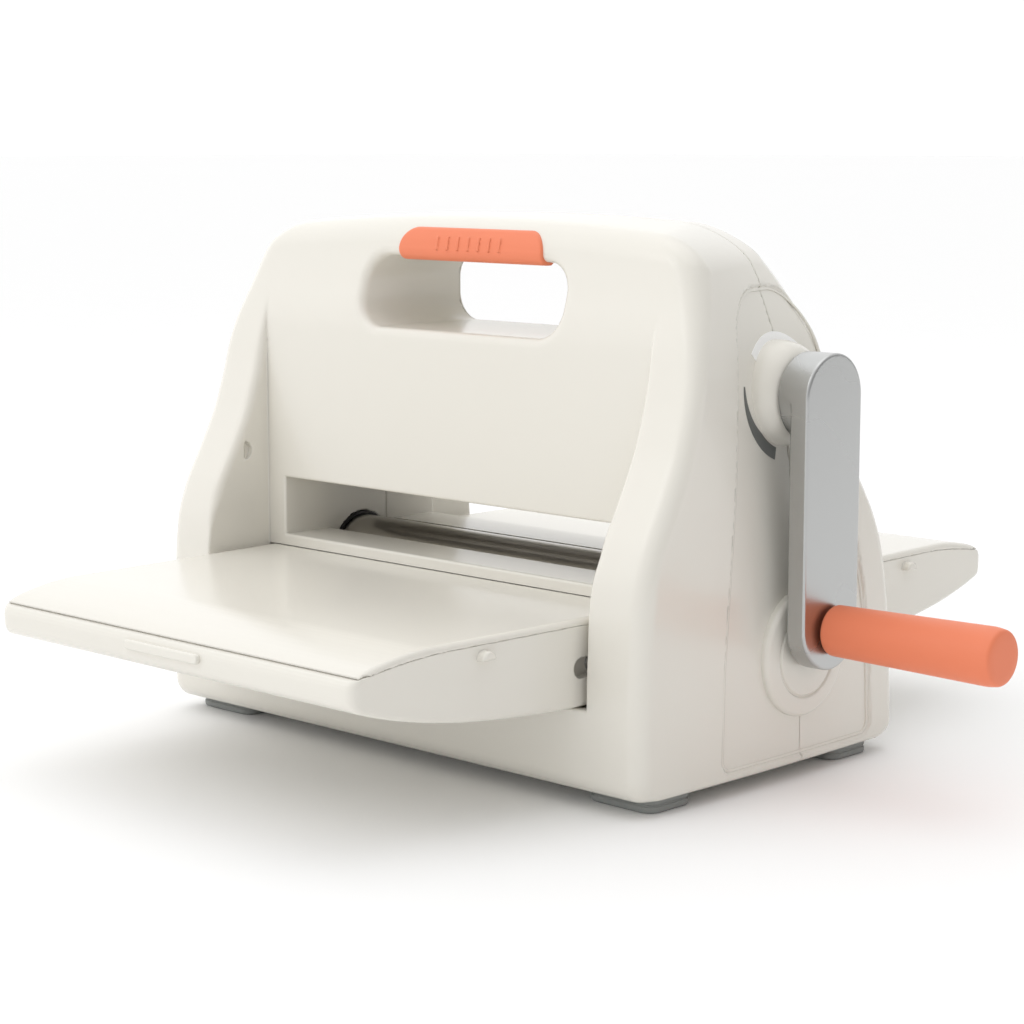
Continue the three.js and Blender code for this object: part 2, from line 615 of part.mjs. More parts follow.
buildCasing();
buildGripInsert();
buildBase();
buildFrame();
buildRollers();
buildGears();
buildCrankSupport();
add('mark_light', directionMark(MARK.light), WHITE_PRINT());
add('mark_dark', directionMark(MARK.dark), DARK_PRINT());
buildCrank();
buildGrip();
buildTrays();

export default machine;
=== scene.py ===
import json
import math

import bpy
import numpy as np
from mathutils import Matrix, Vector


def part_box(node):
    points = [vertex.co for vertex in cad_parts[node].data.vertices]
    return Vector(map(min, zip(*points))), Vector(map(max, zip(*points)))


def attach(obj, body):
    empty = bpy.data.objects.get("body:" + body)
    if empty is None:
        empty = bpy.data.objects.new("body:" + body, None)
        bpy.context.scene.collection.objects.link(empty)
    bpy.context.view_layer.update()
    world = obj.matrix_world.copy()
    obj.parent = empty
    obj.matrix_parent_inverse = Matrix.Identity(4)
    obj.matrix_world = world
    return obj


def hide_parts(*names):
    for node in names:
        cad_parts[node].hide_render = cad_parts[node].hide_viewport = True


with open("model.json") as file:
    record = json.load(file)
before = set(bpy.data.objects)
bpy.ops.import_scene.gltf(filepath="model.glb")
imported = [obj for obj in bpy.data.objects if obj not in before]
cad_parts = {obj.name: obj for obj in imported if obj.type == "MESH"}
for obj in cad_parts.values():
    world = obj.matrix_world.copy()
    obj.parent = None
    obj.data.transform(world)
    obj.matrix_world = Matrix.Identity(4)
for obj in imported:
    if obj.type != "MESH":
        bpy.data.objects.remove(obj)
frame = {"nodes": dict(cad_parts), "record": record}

MM = 0.001
shell_low, shell_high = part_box("front_shell")
MID_X = (shell_low.x + shell_high.x) / 2  # the casing's middle in the row frame, metres
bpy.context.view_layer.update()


def span(node, axis):
    """A CAD node's extent along an axis, in millimetres round the middle of the casing."""
    low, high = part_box(node)
    shift = MID_X if axis == 0 else 0.0
    return (low[axis] - shift) / MM, (high[axis] - shift) / MM


def middle(node, axis):
    low, high = span(node, axis)
    return (low + high) / 2


# ---- Driving sizes, millimetres ----

WALL = 3.0
SEAM_Y = 18.0
SEAM_GAP = 0.22
TOP_Z = span("front_shell", 2)[1]
SHELL_BOTTOM = span("front_shell", 2)[0]
POCKET_X = 131.5
PANEL_Y = 54.0
RECESS_Y = 45.0
WELL_Y = 91.0
WELL_Z = 34.0
SILL_Z = 46.0
LEDGE_Z = 87.1
SLOT_X = 119.0
SLOT_Z = (93.0, 123.0)
CHAMBER_Y = 24.0
CHAMBER_Z = (56.0, 157.0)
HANDLE_X = (-62.0, 73.0)
HANDLE_Z = (205.0, 240.0)
HANDLE_CORNER = 14.0
BACK_RECESS = ((-98.0, 98.0), (197.0, 241.0), 18.0)  # x range, z range, corner
BACK_RECESS_Y = 21.0
HANDLE_EDGE = 5.0
INSERT = ((-40.0, 57.0), (230.0, 254.6), 11.0)
INSERT_PROUD = 1.6
RIBS_MIDDLE = (8.5, 247.3)
RIB_PITCH = 7.0
CRANK_Y = middle("crank_shaft", 1)
CRANK_Z = middle("crank_shaft", 2)
LOWER_Z = middle("lower_roller", 2)
UPPER_Z = middle("upper_roller", 2)
COLLAR_R = 19.5
HINGE_Y = 83.0
HINGE_Z = 64.75
PEG_Y, PEG_Z = 155.5, 79.5
DETENT = (HINGE_Y - (PEG_Z - 2 - HINGE_Z), HINGE_Z + PEG_Y - HINGE_Y)
PANEL_MID_Y = 16.6
PANEL_BOTTOM = 11.6
PANEL_TOP = 229.5
PANEL_DEPTH = 1.9
TRAY_REAR_Y = 54.0
TRAY_TIP_Y = 230.0
TRAY_HALF = {"rear": 129.3, "tip": 124.0}
PEG_R = 4.2
PEG_END_X = 130.6
ROLLER_R = 17.5
ROLLER_HALF = 121.6
JOURNAL_R = 8.0
CAP_Z = 60.0


# ---- Distance fields: negative inside, positive outside ----

def round_max(a, b, radius):
    """Where both fields are inside, with the edge between them rounded."""
    corner = np.hypot(np.maximum(a + radius, 0), np.maximum(b + radius, 0))
    return np.minimum(np.maximum(a, b), -radius) + corner


def box_field(x, y, z, x_range, y_range, z_range):
    inner, outer = -1e9, 0.0
    for value, (low, high) in ((x, x_range), (y, y_range), (z, z_range)):
        reach = np.abs(value - (low + high) / 2) - (high - low) / 2
        inner = np.maximum(inner, reach)
        outer = outer + np.maximum(reach, 0) ** 2
    return np.sqrt(outer) + np.minimum(inner, 0)


def rounded_rect_field(u, v, half_u, half_v, radius):
    a = np.abs(u) - half_u + radius
    b = np.abs(v) - half_v + radius
    return np.hypot(np.maximum(a, 0), np.maximum(b, 0)) + np.minimum(np.maximum(a, b), 0) - radius


def polygon_field(u, v, points):
    """Signed distance to a closed outline."""
    nearest = np.full(np.broadcast(u, v).shape, 1e9)
    inside = np.zeros(nearest.shape, bool)
    for (u0, v0), (u1, v1) in zip(points, points[1:] + points[:1]):
        du, dv = u1 - u0, v1 - v0
        share = np.clip(((u - u0) * du + (v - v0) * dv) / (du * du + dv * dv), 0, 1)
        nearest = np.minimum(nearest, np.hypot(u - u0 - share * du, v - v0 - share * dv))
        if dv:
            inside ^= ((v0 > v) != (v1 > v)) & (u < u0 + (v - v0) * du / dv)
    return np.where(inside, -nearest, nearest)


def smooth_curve(points, spread):
    """A function of height through (height, value) points, its corners rounded."""
    height = np.arange(-80.0, 361.0)
    heights, values = np.array(points, float).T
    offsets = np.arange(-3 * spread, 3 * spread + 1)
    weights = np.exp(-0.5 * (offsets / spread) ** 2)
    padded = np.interp(np.arange(-80.0 - 3 * spread, 361.0 + 3 * spread), heights, values)
    rounded = np.convolve(padded, weights / weights.sum(), mode="valid")
    return lambda z: np.interp(z, height, rounded)


# ---- Casing ----

ARCH = 0.00035  # drop of the top per square millimetre off the middle

depth_at = smooth_curve([(0, 97), (60, 96.6), (88, 95.6), (106, 93.4), (122, 87.5), (140, 77.3),
                         (158, 68.2), (180, 61), (205, 55.5), (226, 49), (240, 46),
                         (264, 42)], 4)
front_half_width = smooth_curve([(0, 163.5), (188, 163.5), (200, 161.6), (210, 159.8),
                                 (228, 155), (264, 146)], 5)
seam_half_width = smooth_curve([(0, 165.5), (60, 165), (90, 163.3), (135, 158.8), (181, 152),
                                (204, 148.4), (229, 137.5), (246, 127), (264, 114)], 6)
rear_half_width = smooth_curve([(0, 163.4), (39, 161.9), (68, 160.5), (111, 156.5), (155, 152),
                                (180, 150.5), (199, 147), (210, 142), (222, 135.5), (233, 128),
                                (244, 119), (264, 102)], 6)
panel_half_width = smooth_curve([(0, 57.6), (60, 56.6), (90, 53), (115, 48.8), (145, 44),
                                 (188, 37.5), (212, 34.5), (240, 33)], 4)
edge_radius_at = smooth_curve([(0, 8.5), (195, 8.5), (235, 14), (264, 24)], 5)


def half_width(y, z):
    """The casing's half width, through its front edge, seam and rear edge."""
    d = depth_at(z)
    y = np.clip(y, -d, d)
    f, s, r = front_half_width(z), seam_half_width(z), rear_half_width(z)
    return (f * (y - SEAM_Y) * (y - d) / ((d + SEAM_Y) * 2 * d)
            + s * (y + d) * (y - d) / ((SEAM_Y + d) * (SEAM_Y - d))
            + r * (y + d) * (y - SEAM_Y) / (2 * d * (d - SEAM_Y)))


def panel_outline(y, z):
    """Signed distance to the outline of the shallow panel in the casing's side."""
    side = (np.abs(y - PANEL_MID_Y) - panel_half_width(z)) * 0.98
    top = round_max(side, z - PANEL_TOP, 26)
    return round_max(top, PANEL_BOTTOM - z, 7)


def side_surface(y, z):
    """The half width with the side panel sunk in."""
    ramp = np.clip(0.5 - panel_outline(y, z) / 1.8, 0, 1)
    return half_width(y, z) - PANEL_DEPTH * ramp * ramp * (3 - 2 * ramp)


def slope(function, *at, step=0.5):
    """How much longer a leaning surface's height is than the distance to it."""
    total = 1.0
    for i in range(len(at)):
        ahead = [p + step * (i == j) for j, p in enumerate(at)]
        behind = [p - step * (i == j) for j, p in enumerate(at)]
        total = total + ((function(*ahead) - function(*behind)) / (2 * step)) ** 2
    return np.sqrt(total)


def body_field(x, y, z):
    """The casing's outside, without its openings."""
    wall = (np.abs(y) - depth_at(z)) / slope(depth_at, z)
    top = z - TOP_Z + ARCH * x * x + 0.0007 * y * y
    side = (np.abs(x) - side_surface(y, z)) / slope(half_width, y, z)
    walls = round_max(round_max(wall, top, 12), side, edge_radius_at(z))
    bottom_radius = 3 + 6 * np.clip((np.abs(y) - 82) / 12, 0, 1)
    return round_max(walls, SHELL_BOTTOM - z, bottom_radius)


def opening_field(x, y, z):
    """The tray pockets, feed slot and roller chamber."""
    x, y = np.abs(x), np.abs(y)
    wide = (-POCKET_X, POCKET_X)
    above = box_field(x, y, z, wide, (PANEL_Y, 400), (SLOT_Z[0] - 6, 400))
    well = box_field(x, y, z, wide, (RECESS_Y, WELL_Y), (WELL_Z, LEDGE_Z))
    sill = box_field(x, y, z, wide, (WELL_Y - 1, 400), (SILL_Z, LEDGE_Z))
    pocket = np.minimum(above, np.minimum(well, sill))
    slot = (-SLOT_X, SLOT_X)
    tunnel = box_field(x, y, z, slot, (-PANEL_Y - 8, PANEL_Y + 8), SLOT_Z)
    chamber = box_field(x, y, z, slot, (-CHAMBER_Y, CHAMBER_Y), CHAMBER_Z)
    return -round_max(-pocket, -np.minimum(tunnel, chamber), 1.3)


def window_field(x, z, x_range, z_range, corner):
    """A rounded window through the casing."""
    (x0, x1), (z0, z1) = x_range, z_range
    return rounded_rect_field(x - (x0 + x1) / 2, z - (z0 + z1) / 2, (x1 - x0) / 2, (z1 - z0) / 2,
                              corner)


def handle_field(x, z):
    return window_field(x, z, HANDLE_X, HANDLE_Z, HANDLE_CORNER)


def back_recess_field(x, y, z):
    """The wider recess the handle hole opens into at the back."""
    return round_max(window_field(x, z, *BACK_RECESS), BACK_RECESS_Y - y, 4)


def wall_holes(x, y, z):
    """Holes in the inner walls for the roller ends and the folded trays' pegs."""
    x, y = np.abs(x), np.abs(y)
    ends = np.minimum(np.hypot(y, z - LOWER_Z), np.hypot(y, z - UPPER_Z)) - COLLAR_R
    ends = np.maximum(ends, np.abs(x - SLOT_X - 2) - 4)
    detent = np.maximum(np.hypot(y - DETENT[0], z - DETENT[1]) - 4.6, y - DETENT[0] - 0.4)
    return np.minimum(ends, np.maximum(detent, np.abs(x - POCKET_X) - 2.3))


def soft_max(a, b, width):
    """The greater of two fields that meet at a slight angle, blended where they are close."""
    return np.maximum(a, b) + np.maximum(width - np.abs(a - b), 0) ** 2 / (4 * width)


def skin_field(x, y, z):
    solid = round_max(body_field(x, y, z), -handle_field(x, z), HANDLE_EDGE)
    solid = round_max(solid, -back_recess_field(x, y, z), 4)
    opening = -opening_field(x, y, z)
    share = np.clip((z - 186) / 20, 0, 1)
    share = share * share * (3 - 2 * share)
    edge = 1.4 + 3.2 * np.clip((z - 98) / 16, 0, 1)
    crisp, faded = round_max(solid, opening, edge), soft_max(solid, opening, 3.5)
    solid = crisp + share * (faded - crisp)
    return np.maximum(solid, -wall_holes(x, y, z))


def hollow_field(x, y, z):
    solid = np.maximum(body_field(x, y, z), -handle_field(x, z))
    solid = np.maximum(solid, -back_recess_field(x, y, z))
    return np.maximum(solid, -opening_field(x, y, z)) + WALL


# ---- Meshes from fields ----

def spaced(low, high, coarse, fine=None, planes=(), reach=2.2):
    """Grid lines, closer together near the given planes."""
    lines = [low]
    while lines[-1] < high:
        here = lines[-1]
        near = any(abs(here - plane) < reach for plane in planes)
        to_plane = min((p - reach - here for p in planes if p - reach > here), default=coarse)
        step = fine if near else min(coarse, max(to_plane, fine or coarse))
        lines.append(here + step)
    return np.array(lines)


def gradient(field, points, step):
    rows = []
    for axis in range(3):
        shift = np.zeros(3)
        shift[axis] = step
        rows.append(field(*(points + shift).T) - field(*(points - shift).T))
    return np.stack(rows, 1) / (2 * step)


def surface(field, grid, rounds=3, step=0.15):
    """Vertices, quads and normals of the field's zero surface (surface nets on a grid)."""
    value = field(grid[0][:, None, None], grid[1][None, :, None], grid[2][None, None, :])
    shape = tuple(len(lines) for lines in grid)
    value = np.ascontiguousarray(np.broadcast_to(value, shape), np.float32)
    flat, inside = value.ravel(), value < 0
    strides = (shape[1] * shape[2], shape[2], 1)
    cells, crossings, quads = [], [], []
    for axis in range(3):
        ahead = [slice(None)] * 3
        behind = [slice(None)] * 3
        ahead[axis], behind[axis] = slice(1, None), slice(None, -1)
        edge = np.array(np.nonzero(inside[tuple(ahead)] != inside[tuple(behind)]))
        base = sum(p * s for p, s in zip(edge, strides))
        here, there = flat[base], flat[base + strides[axis]]
        share = here / (here - there)
        point = np.stack([grid[i][edge[i]] for i in range(3)], 1)
        ends = grid[axis][edge[axis] + 1]
        point[:, axis] += share * (ends - point[:, axis])
        u, v = strides[(axis + 1) % 3], strides[(axis + 2) % 3]
        ring = np.stack([base - u - v, base - v, base, base - u], 1)
        ring[here > 0] = ring[here > 0][:, ::-1]
        quads.append(ring)
        cells.append(ring.ravel())
        crossings.append(np.repeat(point, 4, 0))
    cells, crossings = np.concatenate(cells), np.concatenate(crossings)
    used, vertex = np.unique(cells, return_inverse=True)
    count = np.bincount(vertex)
    points = np.stack([np.bincount(vertex, crossings[:, i]) / count for i in range(3)], 1)
    for _ in range(rounds):
        slopes = gradient(field, points, step)
        steepness = np.maximum((slopes ** 2).sum(1), 0.1)
        move = slopes * (field(*points.T) / steepness)[:, None]
        length = np.maximum(np.linalg.norm(move, axis=1, keepdims=True), 1e-9)
        points -= move * np.minimum(1, 1.2 / length)
    normals = gradient(field, points, step)
    normals /= np.maximum(np.linalg.norm(normals, axis=1, keepdims=True), 1e-9)
    return points, vertex.reshape(-1, 4), normals


def place(points):
    moved = np.asarray(points, float) * MM
    moved[:, 0] += MID_X
    return moved


def make_piece(name, points, faces, material, body, nodes=(), normals=None, sharp=35):
    """A mesh object that rides on a body and stands for CAD nodes."""
    mesh = bpy.data.meshes.new(name)
    mesh.from_pydata(place(points).tolist(), [], [list(map(int, face)) for face in faces])
    mesh.validate()
    mesh.shade_smooth()
    if normals is None:
        mesh.set_sharp_from_angle(angle=math.radians(sharp))
    else:
        mesh.normals_split_custom_set_from_vertices(normals.tolist())
    mesh.materials.append(material)
    piece = bpy.data.objects.new(name, mesh)
    bpy.context.scene.collection.objects.link(piece)
    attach(piece, body)
    if nodes:
        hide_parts(*nodes)
    return piece


def without_loose(points, faces, normals):
    used, index = np.unique(faces, return_inverse=True)
    return points[used], index.reshape(faces.shape), normals[used]


def mirror_y(points, faces, normals):
    flip = np.array([1, -1, 1])
    return points * flip, faces[:, ::-1], normals * flip


# ---- Lathed and swept shapes ----

def rounded_corners(points, radius, steps=5):
    """A polyline with each inner corner turned into an arc of at most that radius."""
    done = [points[0]]
    for before, corner, after in zip(points, points[1:], points[2:]):
        b, c, a = (np.array(p, float) for p in (before, corner, after))
        back, ahead = b - c, a - c
        back_length, ahead_length = np.linalg.norm(back), np.linalg.norm(ahead)
        cut = min(radius, 0.45 * back_length, 0.45 * ahead_length)
        start, end = c + back / back_length * cut, c + ahead / ahead_length * cut
        for i in range(steps + 1):
            t = i / steps
            done.append(tuple((1 - t) ** 2 * start + 2 * t * (1 - t) * c + t * t * end))
    return done + [points[-1]]


def lathe_x(profile, y, z, segments=96):
    """A profile of (x, radius) points turned round an axis along X. Radius 0 ends close it."""
    points, faces, rings = [], [], []
    for x, radius in profile:
        if radius < 1e-6:
            rings.append([len(points)])
            points.append((x, y, z))
            continue
        rings.append(list(range(len(points), len(points) + segments)))
        for i in range(segments):
            angle = 2 * math.pi * i / segments
            points.append((x, y + radius * math.cos(angle), z + radius * math.sin(angle)))
    for first, second in zip(rings, rings[1:]):
        for i in range(segments):
            a, b = first[i % len(first)], first[(i + 1) % len(first)]
            c, d = second[(i + 1) % len(second)], second[i % len(second)]
            faces.append(tuple(dict.fromkeys((a, b, c, d))))
    return points, faces


# ---- Materials ----

def new_material(name, color, roughness, metallic=0.0, coat=0.0, grain=900.0, bump=0.02,
                 mottle=0.006, streak=None):
    """A principled surface with a fine grain in its height and a faint mottle in its gloss."""
    material = bpy.data.materials.new(name)
    material.use_nodes = True
    nodes, links = material.node_tree.nodes, material.node_tree.links
    shader = nodes["Principled BSDF"]
    shader.inputs["Metallic"].default_value = metallic
    shader.inputs["Coat Weight"].default_value = coat
    shader.inputs["Coat Roughness"].default_value = 0.12
    where = nodes.new("ShaderNodeTexCoord")
    stretch = nodes.new("ShaderNodeMapping")
    stretch.inputs["Scale"].default_value = streak or (1, 1, 1)
    links.new(where.outputs["Object"], stretch.inputs["Vector"])
    fine = nodes.new("ShaderNodeTexNoise")
    fine.inputs["Scale"].default_value = grain
    fine.inputs["Detail"].default_value = 3
    links.new(stretch.outputs["Vector"], fine.inputs["Vector"])
    broad = nodes.new("ShaderNodeTexNoise")
    broad.inputs["Scale"].default_value = 14
    broad.inputs["Detail"].default_value = 2
    links.new(stretch.outputs["Vector"], broad.inputs["Vector"])
    gloss = nodes.new("ShaderNodeMapRange")
    gloss.inputs["To Min"].default_value = roughness - 2 * mottle
    gloss.inputs["To Max"].default_value = roughness + 2 * mottle
    links.new(broad.outputs["Fac"], gloss.inputs["Value"])
    links.new(gloss.outputs["Result"], shader.inputs["Roughness"])
    tone = nodes.new("ShaderNodeMixRGB")
    tone.inputs["Color1"].default_value = (*[c * (1 - mottle) for c in color], 1)
    tone.inputs["Color2"].default_value = (*[min(1, c * (1 + mottle)) for c in color], 1)
    links.new(broad.outputs["Fac"], tone.inputs["Fac"])
    links.new(tone.outputs["Color"], shader.inputs["Base Color"])
    raised = nodes.new("ShaderNodeBump")
    raised.inputs["Strength"].default_value = bump
    raised.inputs["Distance"].default_value = 0.0003
    links.new(fine.outputs["Fac"], raised.inputs["Height"])
    links.new(raised.outputs["Normal"], shader.inputs["Normal"])
    return material


CREAM = new_material("cream_plastic", (0.8, 0.773, 0.705), 0.26, coat=0.3)
CORAL = new_material("coral_plastic", (0.86, 0.235, 0.115), 0.5, bump=0.08)
RUBBER = new_material("grey_rubber", (0.3, 0.31, 0.3), 0.75, bump=0.2)
STEEL = new_material("steel", (0.55, 0.56, 0.57), 0.35, metallic=1, bump=0.05)
CHROME = new_material("roller_chrome", (0.52, 0.5, 0.47), 0.3, metallic=1,
                      streak=(0.05, 1, 1), bump=0.05)
SILVER = new_material("satin_silver", (0.5, 0.505, 0.5), 0.27, metallic=1, bump=0.12,
                      grain=1400, mottle=0.02)
BLACK = new_material("black_plastic", (0.012, 0.012, 0.013), 0.45)
GEAR = new_material("gear_plastic", (0.75, 0.72, 0.62), 0.45)
WHITE_INK = new_material("white_print", (0.97, 0.97, 0.96), 0.5)
DARK_INK = new_material("dark_print", (0.15, 0.155, 0.148), 0.5)
SLOT_MATERIALS = {
    "casing_cream": CREAM, "coral_soft": CORAL, "foot_grey": RUBBER, "steel": STEEL,
    "roller_chrome": CHROME, "arm_silver": SILVER, "black_plastic": BLACK,
    "gear_plastic": GEAR, "print_white": WHITE_INK, "print_dark": DARK_INK,
}


def finish_cad_nodes():
    """Gives every CAD node the looks of its slot."""
    for part in frame["record"]["subparts"]:
        mesh = frame["nodes"][part["node"]].data
        mesh.materials.clear()
        mesh.materials.append(SLOT_MATERIALS[part["material_slot"]])


# ---- Casing pieces ----

def make_shells():
    """The casing's two halves, each an outside surface and the inside of its wall."""
    fine = 0.7
    step = 1.7
    grid = (
        spaced(-172, 172, step, fine, (-POCKET_X, -SLOT_X, SLOT_X, POCKET_X)),
        spaced(-103, 103, step, fine, (-PANEL_Y, SEAM_Y, PANEL_Y)),
        spaced(-2, 268, step, fine, (LEDGE_Z + 2, SLOT_Z[0] + 1, SLOT_Z[1])),
    )
    inner_grid = [np.arange(a, b, 4.6) for a, b in ((-172, 172), (-103, 103), (-2, 268))]
    half_gap = SEAM_GAP / 2
    for name, sign in (("front", -1), ("rear", 1)):
        def cut(y):
            return sign * (SEAM_Y - y) + half_gap

        def outer(x, y, z):
            return np.maximum(skin_field(x, y, z), cut(y))

        def inner(x, y, z):
            return np.maximum(hollow_field(x, y, z), cut(y) - 0.3)

        points, faces, normals = surface(outer, grid)
        middles = points[faces].mean(1)
        rim = hollow_field(*middles.T) > 0.3
        at_seam = np.abs(cut(middles[:, 1])) < 0.25
        outside = without_loose(points, faces[rim | ~at_seam], normals)
        points, faces, normals = surface(inner, inner_grid)
        middles = points[faces].mean(1)
        inward = np.abs(cut(middles[:, 1])) > 0.7
        inside = without_loose(points, faces[inward][:, ::-1], -normals)
        count = len(outside[0])
        make_piece(f"casing_{name}", np.concatenate([outside[0], inside[0]]),
                   np.concatenate([outside[1], inside[1] + count]), CREAM, "casing",
                   [f"{name}_shell"],
                   np.concatenate([outside[2], inside[2]]))


def make_insert():
    """The soft insert over the handle hole, with a row of plain ribs."""
    mid_x, mid_z = RIBS_MIDDLE

    def field(x, y, z):
        shell = round_max(body_field(x, y, z), -handle_field(x, z), HANDLE_EDGE)
        pad = round_max(shell - INSERT_PROUD, window_field(x, z, *INSERT), 1.3)
        nearest = np.clip(np.round((x - mid_x) / RIB_PITCH), -3, 3)
        rib = rounded_rect_field(x - mid_x - RIB_PITCH * nearest, z - mid_z, 0.9, 3.4, 0.85)
        pad = np.minimum(pad, round_max(shell - INSERT_PROUD - 0.6, rib, 0.4))
        return np.maximum(np.maximum(pad, -shell - 1.2), y + 38)

    grid = (spaced(-44, 61, 0.75), spaced(-54, -30, 0.6), spaced(234, 258, 0.6))
    points, faces, normals = surface(field, grid)
    make_piece("handle_insert", points, faces, CORAL, "casing",
               ["handle_grip_insert"], normals)


def sweep_on_side(name, path, across, lift, material, sign=1, nodes=()):
    """A thin strip that lies on the casing's side along (y, z) points."""
    points, faces = [], []
    profile = len(across)
    for y, z, out_y, out_z, width in path:
        for share, height in zip(across, lift):
            py, pz = y + out_y * share * width, z + out_z * share * width
            points.append((sign * (side_surface(py, pz) + height), py, pz))
    closed = math.hypot(path[0][0] - path[-1][0], path[0][1] - path[-1][1]) < 4
    rings = len(path)
    for i in range(rings if closed else rings - 1):
        for j in range(profile):
            a, b = i * profile + j, i * profile + (j + 1) % profile
            c, d = (i + 1) % rings * profile + (j + 1) % profile, (i + 1) % rings * profile + j
            faces.append((a, b, c, d) if sign > 0 else (d, c, b, a))
    if not closed:
        first, last = list(range(profile)), [(rings - 1) * profile + j for j in range(profile)]
        faces += [first[::-1], last] if sign > 0 else [first, last[::-1]]
    return make_piece(name, points, faces, material, "casing", nodes, sharp=50)


def panel_path(count=420):
    """Points along the side panel's outline with their outward directions."""
    path = []
    for i in range(count):
        angle = 2 * math.pi * i / count
        dy, dz = math.cos(angle), math.sin(angle)
        low, high = 0.0, 180.0
        mid_z = 115.0
        for _ in range(40):
            reach = (low + high) / 2
            outside = panel_outline(PANEL_MID_Y + dy * reach, mid_z + dz * reach) > 0
            low, high = (low, reach) if outside else (reach, high)
        y, z = PANEL_MID_Y + dy * low, mid_z + dz * low
        gy = float(panel_outline(y + 0.2, z) - panel_outline(y - 0.2, z))
        gz = float(panel_outline(y, z + 0.2) - panel_outline(y, z - 0.2))
        length = math.hypot(gy, gz)
        path.append((y, z, gy / length, gz / length, 1.0))
    return path


def make_panel_rims():
    bead = [(math.cos(a) * 0.8, math.sin(a) * 0.8) for a in np.linspace(0, 2 * math.pi, 9)[:-1]]
    across, lift = zip(*bead)
    inset = [s - 1.15 for s in across]
    for name, sign in (("left", -1), ("right", 1)):
        sweep_on_side(f"panel_rim_{name}", panel_path(), inset, lift, CREAM, sign)


def make_marks():
    """Two printed arcs round the crank, which show its two turning directions."""
    def arc(start, end, inner, outer, drop=0, steps=48):
        path = []
        for i in range(steps + 1):
            t = i / steps
            angle = math.radians(start + (end - start) * t)
            dy, dz = math.cos(angle), math.sin(angle)
            r0, r1 = inner(t), outer(t)
            path.append((CRANK_Y + dy * r0, CRANK_Z - drop + dz * r0, dy, dz, r1 - r0))
        return path[::-1]

    across = (0, 0.25, 0.5, 0.75, 1, 1, 0.5, 0)
    lift = (0.3, 0.3, 0.3, 0.3, 0.3, -0.4, -0.4, -0.4)
    light = arc(46, 134, lambda t: 26.6, lambda t: 31.4, 3)
    dark = arc(170, 250, lambda t: 30.6 - 5 * min(1, 1.6 * t), lambda t: 31.4)
    sweep_on_side("mark_turn_light", light, across, lift, WHITE_INK, 1,
                  ["mark_light"])
    sweep_on_side("mark_turn_dark", dark, across, lift, DARK_INK, 1, ["mark_dark"])


def make_boss_and_cap():
    dome = rounded_corners([(138, 25), (149.5, 25), (155, 24), (159.5, 21.8), (162.6, 18.8),
                            (163.8, 16), (163.8, 7)], 3.5)
    points, faces = lathe_x([(138, 0)] + dome + [(163.8, 6.2), (150, 6.2), (150, 0)],
                            CRANK_Y, CRANK_Z)
    make_piece("crank_boss_dome", points, faces, CREAM, "casing", ["crank_boss"])
    cap = rounded_corners([(155, 30), (165.4, 30), (167, 28.6), (167.6, 24), (167.6, 21.2),
                           (166.6, 20.6), (166.6, 20), (167.6, 19.4), (168.2, 12),
                           (168.4, 0.01)], 1.2)
    points, faces = lathe_x([(155, 0)] + cap[:-1] + [(168.4, 0)], SEAM_Y, CAP_Z)
    make_piece("lower_boss", points, faces, CREAM, "casing", ["lower_cap"])


# ---- Feet ----

def make_feet():
    """Rubber pads with a shallow groove round the sides."""
    for end in ("front", "rear"):
        for side in ("left", "right"):
            node = f"foot_{end}_{side}"
            x, y = middle(node, 0), middle(node, 1)
            top = span(node, 2)[1]

            def field(px, py, pz):
                outline = rounded_rect_field(px - x, py - y, 20, 15, 7)
                pad = round_max(outline, pz - top, 0.4)
                pad = round_max(pad, -pz, 1.4)
                groove = np.hypot(outline + 0.2, pz - 3.6) - 0.5
                return np.maximum(pad, -groove)

            grid = (spaced(x - 22, x + 22, 0.9), spaced(y - 17, y + 17, 0.9),
                    spaced(-1, top + 1, 0.45))
            points, faces, normals = surface(field, grid)
            make_piece(f"pad_{end}_{side}", points, faces, RUBBER, "casing",
                       [node], normals)


# ---- Rollers ----

def make_rollers():
    """The two pressure rollers with the black collars at their ends."""
    for level, z in (("lower", LOWER_Z), ("upper", UPPER_Z)):
        node = f"{level}_roller"
        start, end = span(node, 0)
        half, r, journal = ROLLER_HALF, ROLLER_R, JOURNAL_R
        profile = [(start, 0), (start, journal - 0.6), (start + 0.6, journal), (-half, journal),
                   (-half, r - 1), (1 - half, r), (half - 1, r), (half, r - 1), (half, journal),
                   (end - 0.6, journal), (end, journal - 0.6), (end, 0)]
        points, faces = lathe_x(profile, 0, z, 128)
        make_piece(f"{level}_roller_bar", points, faces, CHROME, f"{level}_roller_set",
                   [node])
        for side, sign in (("left", -1), ("right", 1)):
            x0, x1 = 118.2, 121.4
            ring = [(x0, 17.9), (x0, 18.9), (x0 + 0.5, 19.4), (x1, 19.4), (x1, 17.9), (x0, 17.9)]
            points, faces = lathe_x([(sign * x, r) for x, r in ring][::sign], 0, z, 96)
            make_piece(f"{level}_ring_{side}", points, faces, BLACK, "casing",
                       [f"{level}_collar_{side}"])


# ---- Crank ----

